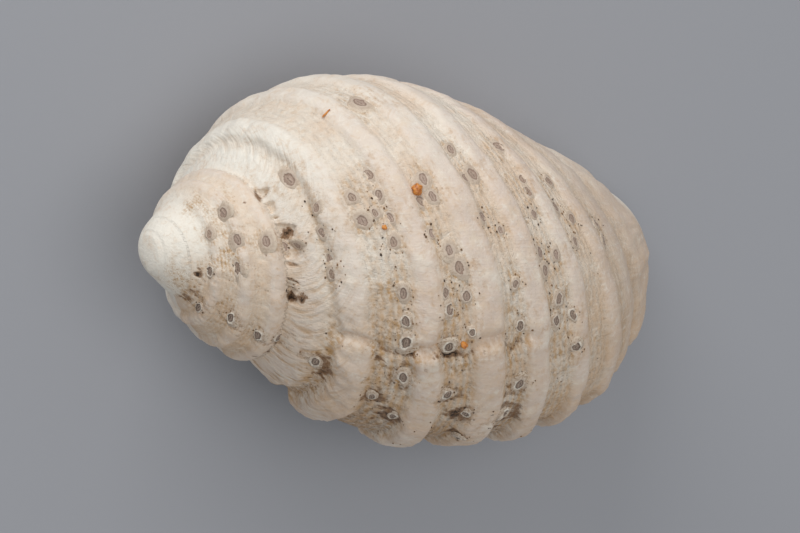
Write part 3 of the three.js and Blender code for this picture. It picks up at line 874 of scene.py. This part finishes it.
def shellFinish():
    finish, shader, tree = newFinish("shellFinish")
    place = placeOn(tree)
    look = shellTints
    across, turn, crest, stain, grimeAndShadow = tree.attributes("across", "turn", "crest", "stain", "grimeAndShadow")
    pale, low, outer, ribbed = tree.attributes("pale", "low", "outer", "ribbed")
    names = ("wide", "middle", "patch", "fine", "grain")
    wide, middle, patch, fine, grain = (tree.cloud(place, *look[name]) for name in names)
    count, turns = look["streakCount"]
    streak = tree.cloud(tree.vector(across * count, turn * turns), 1.0, 5, 0.75)
    count, turns = look["lineCount"]
    lines = tree.cloud(tree.vector(across * count, turn * turns), 1.0, 3, 0.65)
    # riblets in the furrows, and wrinkles across the band below the suture
    rib = tree.math("SINE", across * (2 * math.pi / look["ribSpacing"]) + middle * 5) * 0.5 + 0.5
    furrow = (1 - crest) * across.rise(0.08, 0.12)
    band = (1 - across.rise(0.07, 0.12)) * ribbed
    bow = across * across * look["wrinkleBow"]
    count, turns = look["wrinkleCount"]
    wrinkle = tree.cloud(tree.vector(turn * turns + bow, across * count + 3), 1.0, 3, 0.55)
    # dirt follows the grime mask, so round the barnacles' feet it is partly painted shadow
    dirt = grimeAndShadow * (patch * 0.2 + fine * 0.4 + grain * 0.4)
    cells = tree.node("TexVoronoi", None, {"Vector": place, "Scale": look["dotScale"], "Randomness": 1.0})
    dots = (1 - cells.rise(0.1, 0.26)) * (stain * 0.8 + grimeAndShadow * 0.7 + 0.04) * streak.rise(0.42, 0.58)
    flecks = (fine * 0.6 + grain * 0.4).rise(0.6, 0.68) * (stain * 0.5 + grimeAndShadow * 0.5 + 0.06)
    # stains between the riblets, broken into dashes
    stained = stain * streak.rise(0.4, 0.58) * (1 - rib * 0.5) * (0.35 + middle.rise(0.35, 0.6) * 0.65)
    colour = tree.blend(wide.rise(0.36, 0.64), look["chalk"], look["rose"])
    colour = tree.layered(colour, look, [
        (middle.rise(0.48, 0.7) * 0.45, "cream"),
        (crest * middle.rise(0.3, 0.6) * 0.8, "lilac"),
        # tan over the lower side: partly staining, partly painted warm shade
        (low * wide.rise(0.2, 0.55) * (0.7 - crest * 0.3), "tan"),
        (across.rise(0.6, 0.9) * 0.25, "tan"),
        (pale * middle.rise(0.15, 0.5) * 0.95, "cream"),
        (lines.rise(0.52, 0.75) * 0.25, "cream"),
        (patch.rise(0.52, 0.66) * (0.3 + low * 0.25), "tan"),
        ((1 - patch).rise(0.54, 0.68) * 0.4, "cream"),
        (stained * 0.95, "ochre"),
        (stain * (middle * 0.5 + fine * 0.5).rise(0.48, 0.62) * 0.7, "ochre"),
        (band * (1 - wrinkle.rise(0.34, 0.52)) * (0.25 + low * 0.5), "ochre"),
        # cream on the tops of the riblets in the stained furrows: painted highlight
        (stain * rib * (1 - streak.rise(0.45, 0.6)) * 0.35, "cream"),
        (dirt.rise(0.16, 0.34) * 0.85, "brown"),
        (dirt.rise(0.36, 0.48), "dark"),
        (dots * 0.9, "brown"),
        (flecks * 0.8, "brown"),
        (1 - outer, "inside"),
    ])
    colour.feed(shader, "Base Color")
    rough = 0.52 + fine * 0.2 - crest * 0.06 - (1 - outer) * 0.2
    rough.feed(shader, "Roughness")
    height = rib * furrow * ribbed * (0.3 + stain) * patch.rise(0.35, 0.6) * look["ribHeight"]
    height = height + wrinkle * band * look["wrinkleHeight"]
    height = height + lines * ribbed * look["growthHeight"] + fine * outer * look["fineHeight"]
    height = height + patch * furrow * outer * look["patchHeight"] - dirt * look["dirtDepth"]
    height = height + grain * outer * look["grainHeight"]
    tree.bump(height).feed(shader, "Normal")
    shader.inputs["Specular IOR Level"].default_value = look["shine"]
    return finish


# one barnacle one unit across: rings from the foot over the wall and rim down to the plates
cone = {
    "sides": 18, "foot": 0.66, "sunk": -0.1,
    "rings": [  # radius, height
        (0.58, 0.02), (0.47, 0.07), (0.39, 0.14), (0.345, 0.16), (0.31, 0.115), (0.27, 0.09), (0.14, 0.12),
    ],
    "ridge": 0.01, "long": 1.2,
    "slim": 0.3,  # the plates are narrower than the wall
    "slimOver": (0.35, 0.8),
    "flat": 0.55,  # height of the dull ones on the upper side
    "lowSide": (8, 36), "turn": 28,
    "wavy": [(0.4, 0.8, 42), (0.16, 1.9, 43)],  # share of the width, count round the rim, seed
    "longUneven": 0.14, "tallUneven": 0.5, "sharp": 60,
}


def barnacleModel():
    deselectAll()
    bpy.ops.mesh.primitive_circle_add(
        vertices=cone["sides"], radius=cone["foot"], fill_type="NGON",
        location=(0, 0, cone["sunk"]),
    )
    piece = bpy.context.object
    bpy.ops.object.transform_apply(location=True, rotation=True, scale=True)
    mode("EDIT")
    lastRadius, lastHeight = cone["foot"], cone["sunk"]
    for radius, height in cone["rings"]:
        bpy.ops.mesh.extrude_region_move(TRANSFORM_OT_translate={"value": (0, 0, height - lastHeight)})
        bpy.ops.transform.resize(value=(radius / lastRadius, radius / lastRadius, 1))
        lastRadius, lastHeight = radius, height
    bpy.ops.mesh.poke(offset=cone["ridge"])
    bpy.ops.mesh.select_all(action="SELECT")
    bpy.ops.mesh.normals_make_consistent(inside=False)
    mode("OBJECT")
    setValues(piece, "ring", 1 - np.hypot(*coords(piece).T[:2]) / cone["foot"])
    return piece


frameStep = {"angle": 1.5, "share": 0.015}


def onSkin(share, angle):
    return placed(*outside(share, angle), angle)


def surfaceFrame(share, angle):
    middle = onSkin(share, angle)
    along = onSkin(share, angle + frameStep["angle"]) - onSkin(share, angle - frameStep["angle"])
    down = onSkin(share + frameStep["share"], angle) - onSkin(share - frameStep["share"], angle)
    along = along / np.linalg.norm(along)
    up = np.cross(along, down)
    up = up / np.linalg.norm(up)
    out = placed(1.0, 0.0, angle) - placed(0.0, 0.0, angle)
    up = up if up @ out > 0 else -up
    return middle, along, np.cross(up, along), up


def copyOf(model):
    copy = model.copy()
    copy.data = model.data.copy()
    bpy.context.scene.collection.objects.link(copy)
    return copy


def joined(pieces, name):
    pick(*pieces)
    bpy.ops.object.join()
    piece = bpy.context.object
    piece.name = name
    return piece


def barnaclePiece():
    model = barnacleModel()
    form = coords(model)
    copies = []
    for k, (angle, share, width) in enumerate(barnacleSpots):
        copy = copyOf(model)
        middle, along, across, up = surfaceFrame(share, angle)
        turned = math.radians(cone["turn"] * noise(k * 3.7, 0.5, 41))
        out = np.hypot(form[:, 0], form[:, 1])
        east, north = form[:, 0] / np.maximum(out, 1e-6), form[:, 1] / np.maximum(out, 1e-6)
        outward = np.clip(out / cone["foot"], 0, 1)
        wavy = 0
        for part, count, seed in cone["wavy"]:
            wavy = wavy + part * noise(east * count + k * 1.7, north * count + k * 2.3, seed)
        uneven = 1 + outward * wavy
        long = cone["long"] * (1 + cone["longUneven"] * noise(k * 1.9, 4.5, 44))
        lower = float(ease(*cone["lowSide"], angle + 360 * (angle < bodyStart)))
        tall = cone["flat"] + (1 - cone["flat"]) * lower
        rough = noise(east * 1.6 + k * 2.9, north * 1.6 + k * 1.1, 45)
        tall = tall * (1 + cone["tallUneven"] * rough)
        slim = 1 - cone["slim"] * (1 - ease(*cone["slimOver"], outward))
        x, y = form[:, 0] * uneven * long, form[:, 1] * uneven * slim
        x, y = x * math.cos(turned) - y * math.sin(turned), x * math.sin(turned) + y * math.cos(turned)
        z = np.where(form[:, 2] > 0, form[:, 2] * tall, form[:, 2])
        points = middle + width * mm * (x[:, None] * along + y[:, None] * across + z[:, None] * up)
        setCoords(copy, points)
        setValues(copy, "endways", form[:, 0])
        setValues(copy, "sideways", form[:, 1])
        setValues(copy, "bright", lower)
        setValues(copy, "tone", 0.5 + 0.5 * noise(k * 1.37 + 0.5, 2.5, 46))
        copies.append(copy)
    bpy.data.objects.remove(model)
    piece = joined(copies, "barnacles")
    bpy.ops.object.shade_smooth_by_angle(angle=math.radians(cone["sharp"]))
    return piece


barnacleTints = {
    "skirt": tint(213, 196, 176),
    "wall": tint(191, 171, 152),
    "dullRim": tint(201, 183, 165),
    "rim": tint(232, 223, 208),
    # groove colours: painted shade in the recess between rim and plates
    "grooveShade": tint(134, 109, 93),
    "deepGrooveShade": tint(92, 74, 60),
    "plate": tint(169, 146, 134),
    "tanPlate": tint(157, 132, 113),
    "darkPlate": tint(120, 101, 88),
    # slit colours: painted shade in the gap between the plates
    "slitShade": tint(116, 95, 82),
    "deepSlitShade": tint(76, 62, 53),
    "dirt": tint(150, 116, 80),
    "fine": (4.0, 3, 0.6), "grain": (9.0, 3, 0.6), "edge": (1.4, 2),
    "broken": (1.9, 2),  # where the rim is worn through
    "fineHeight": 0.06, "grainHeight": 0.03,
}


def barnacleFinish():
    finish, shader, tree = newFinish("barnacleFinish")
    place = placeOn(tree)
    look = barnacleTints
    ring, bright, tone = tree.attributes("ring", "bright", "tone")
    endways, sideways = (tree.math("ABSOLUTE", way) for way in tree.attributes("endways", "sideways"))
    names = ("fine", "grain", "edge", "broken")
    fine, grain, wobble, broken = (tree.cloud(place, *look[name]) for name in names)
    edge = ring + (fine - 0.5) * 0.34 + (wobble - 0.5) * 0.2
    colour = tree.blend(edge.rise(0.05, 0.34), look["skirt"], look["wall"])
    colour = tree.blend(fine.rise(0.42, 0.66) * 0.6, colour, look["skirt"])
    rim = tree.blend(bright * fine.rise(0.3, 0.6), look["dullRim"], look["rim"])
    colour = tree.blend(edge.rise(0.34, 0.42) * (0.3 + broken.rise(0.36, 0.56) * 0.7), colour, rim)
    # the groove between rim and plates is painted shade, darker on the taller barnacles of the lower side
    grooveShade = tree.blend(bright, look["grooveShade"], look["deepGrooveShade"])
    colour = tree.blend(edge.rise(0.48, 0.56), colour, grooveShade)
    plate = tree.blend(tone, look["plate"], look["tanPlate"])
    plate = tree.blend(bright * (0.5 + tone * 0.4), plate, look["darkPlate"])
    # the slit between the plates is a painted shade line, darker on the taller barnacles of the lower side
    line = tree.blend(bright, look["slitShade"], look["deepSlitShade"])
    side = sideways + endways.rise(0.1, 0.26) * 0.1 + (fine - 0.5) * 0.05
    # a paler strip along each side of the slit: painted highlight on the plates' edges
    slitHighlight = side.rise(0.05, 0.09) * (1 - side.rise(0.1, 0.16))
    plate = tree.blend(slitHighlight * 0.5, plate, look["wall"])
    plate = tree.blend((1 - side.rise(0.015, 0.055)) * (0.45 + tone * 0.5), plate, line)
    plate = tree.blend(grain.rise(0.5, 0.68) * 0.35, plate, look["skirt"])
    colour = tree.blend(edge.rise(0.54, 0.64), colour, plate)
    dirt = grain.rise(0.5, 0.64) * (1 - edge.rise(0.2, 0.46)) * (0.35 + bright * 0.6)
    colour = tree.blend(dirt, colour, look["dirt"])
    colour.feed(shader, "Base Color")
    rough = 0.42 + fine * 0.25
    rough.feed(shader, "Roughness")
    height = fine * look["fineHeight"] + grain * look["grainHeight"]
    tree.bump(height).feed(shader, "Normal")
    return finish


# loose grains in the furrows, orange eggs and a splinter
grit = {
    "furrows": [0.078, 0.16, 0.19, 0.31, 0.435, 0.585, 0.715],
    "grains": 70, "nearBarnacle": 6, "size": (0.03, 0.085),
    "angles": (30, 62),  # middle and spread
    "drift": 0.024,
    "ring": (0.75, 0.22),  # distance from a barnacle's middle in its widths, and spread
    "ringStep": (5.2, 0.034),  # degrees and share in a millimetre
    "lowFrom": -8, "grainShape": (1.3, 1, 0.7), "eggShape": (1, 0.9, 0.8),
    "splinterShape": (1, 0.2, 0.2), "lumpy": 0.34, "raised": 0.4,
    "eggs": [(-13, 0.284, 0.36), (-2, 0.18, 0.16), (33, 0.316, 0.24)],  # angle, share, radius
    "splinters": [(-50, 0.216, 0.32)],
    "splinterTurn": 84.0,
}


def gritPiece():
    deselectAll()
    bpy.ops.mesh.primitive_ico_sphere_add(subdivisions=1, radius=1)
    grain = bpy.context.object
    form = coords(grain)
    deselectAll()
    bpy.ops.mesh.primitive_ico_sphere_add(subdivisions=3, radius=1)
    egg = bpy.context.object
    eggForm = coords(egg)
    places = []
    for k in range(grit["grains"]):
        drift = grit["drift"] * float(noise(k * 1.37 + 0.5, 3.1, 50))
        angle = grit["angles"][0] + grit["angles"][1] * float(noise(k * 1.91 + 0.5, 6.2, 51))
        places.append((angle, grit["furrows"][k % len(grit["furrows"])] + drift))
    degrees, shares = grit["ringStep"]
    for k, (angle, share, width) in enumerate(barnacleSpots):
        for n in range(grit["nearBarnacle"]):
            around = 2 * math.pi * float(noise(k * 2.17 + 0.5, n * 3.3 + 0.5, 52))
            off = float(noise(k * 1.53 + 0.5, n * 5.1 + 0.5, 53))
            away = width * (grit["ring"][0] + grit["ring"][1] * off)
            if angle > grit["lowFrom"] or angle < bodyStart:
                east, south = degrees * away * math.cos(around), shares * away * math.sin(around)
                places.append((angle + east, share + south))
    spots = []
    for k, (angle, share) in enumerate(places):
        big = 0.5 + 0.5 * float(noise(k * 1.37 + 0.5, 9.3, 54))
        size = grit["size"][0] + (grit["size"][1] - grit["size"][0]) * big ** 2
        spots.append((grain, form, (angle, share, size), "grainShape", 0.0, 0.0))
    for spot in grit["eggs"]:
        spots.append((egg, eggForm, spot, "eggShape", 1.0, 0.0))
    for spot in grit["splinters"]:
        spots.append((egg, eggForm, spot, "splinterShape", 1.0, grit["splinterTurn"]))
    copies = []
    for k, (model, shape, (angle, share, size), shapeName, tone, turned) in enumerate(spots):
        size = np.array(grit[shapeName]) * size
        copy = copyOf(model)
        middle, along, across, up = surfaceFrame(share, angle)
        lumpy = 1 + grit["lumpy"] * noise(shape[:, 0] * 1.7 + k, shape[:, 1] * 1.7 + shape[:, 2], 61)
        local = shape * lumpy[:, None] * size * mm
        local[:, 2] += grit["raised"] * size[2] * mm
        local = local @ np.array(Matrix.Rotation(math.radians(turned), 3, "Z")).T
        setCoords(copy, middle + local[:, :1] * along + local[:, 1:2] * across + local[:, 2:] * up)
        setValues(copy, "tone", tone)
        copies.append(copy)
    bpy.data.objects.remove(grain)
    bpy.data.objects.remove(egg)
    piece = joined(copies, "grit")
    bpy.ops.object.shade_smooth()
    return piece


gritTints = {
    "dark": tint(74, 56, 42),
    "brown": tint(132, 98, 64),
    "orange": tint(214, 140, 62),
    "rust": tint(172, 98, 40),
    "spread": (1.6, 2), "mottle": (5.0, 3, 0.6),
}


def gritFinish():
    finish, shader, tree = newFinish("gritFinish")
    place = placeOn(tree)
    tone = tree.attributes("tone")[0]
    spread, mottle = (tree.cloud(place, *gritTints[name]) for name in ("spread", "mottle"))
    colour = tree.blend(spread.rise(0.4, 0.6), gritTints["dark"], gritTints["brown"])
    clump = tree.blend(mottle.rise(0.42, 0.6), gritTints["orange"], gritTints["rust"])
    colour = tree.blend(tone, colour, clump)
    colour.feed(shader, "Base Color")
    rough = 0.7 - tone * 0.35
    rough.feed(shader, "Roughness")
    return finish


def wear(piece, finish):
    piece.data.materials.clear()
    piece.data.materials.append(finish)
    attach(piece, "root")
    return piece


shell = wear(shellSkin(), shellFinish())
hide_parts("shell")
print("shell skin:", len(shell.data.polygons), "faces")
barnacle = wear(barnaclePiece(), barnacleFinish())
print("barnacles:", len(barnacleSpots), "with", len(barnacle.data.polygons), "faces")
grains = wear(gritPiece(), gritFinish())
print("grit:", len(grains.data.polygons), "faces")

# the photograph's view of the shell axis, and the camera that gives it
view = {"lift": 36.49, "heading": 3.68, "fromApex": (16.53, -1.0125, 275.6), "lens": 202.5, "sensor": 36.0}
cameraTurn = restTurn @ axisBasis(view["lift"], view["heading"], 0).transposed()
apex = Vector(growth["apexPlace"])


def addCamera():
    deselectAll()
    bpy.ops.object.camera_add()
    camera = bpy.context.object
    place = (apex + cameraTurn @ Vector(view["fromApex"])) * mm
    camera.matrix_world = Matrix.Translation(place) @ cameraTurn.to_4x4()
    camera.data.lens = view["lens"]
    camera.data.sensor_width = view["sensor"]
    bpy.context.scene.camera = camera


floor = {"size": 3.0, "colour": tint(161, 162, 167), "rough": 0.9, "shine": 0.1}


def addFloor():
    deselectAll()
    bpy.ops.mesh.primitive_plane_add(size=floor["size"])
    piece = bpy.context.object
    piece.name = "floor"
    finish, shader, _ = newFinish("floorFinish")
    shader.inputs["Base Color"].default_value = floor["colour"]
    shader.inputs["Roughness"].default_value = floor["rough"]
    shader.inputs["Specular IOR Level"].default_value = floor["shine"]
    piece.data.materials.append(finish)


# soft lights: place seen from the camera with the shell in the middle, size and power
lights = {
    "key": ((-60, 196, 138), 0.2, 0.37),
    "front": ((170, -30, 400), 0.35, 0.5),
    "sky": 0.46, "skyColour": (0.95, 0.98, 1.0, 1.0),
}


def addLights():
    middle = (cadLow + cadHigh) / 2
    for name in ("key", "front"):
        where, size, power = lights[name]
        deselectAll()
        bpy.ops.object.light_add(type="AREA")
        lamp = bpy.context.object
        lamp.name = name
        place = cameraTurn @ Vector(where) * mm
        facing = place.to_track_quat("Z", "Y").to_matrix().to_4x4()
        lamp.matrix_world = Matrix.Translation(middle + place) @ facing
        lamp.data.shape = "DISK"
        lamp.data.size = size
        lamp.data.energy = power
    world = bpy.data.worlds.new("studio")
    world.use_nodes = True
    background = world.node_tree.nodes["Background"]
    background.inputs["Color"].default_value = lights["skyColour"]
    background.inputs["Strength"].default_value = lights["sky"]
    bpy.context.scene.world = world


addCamera()
addFloor()
addLights()
bpy.context.scene.view_settings.view_transform = "Standard"
print("camera, floor and lights set")
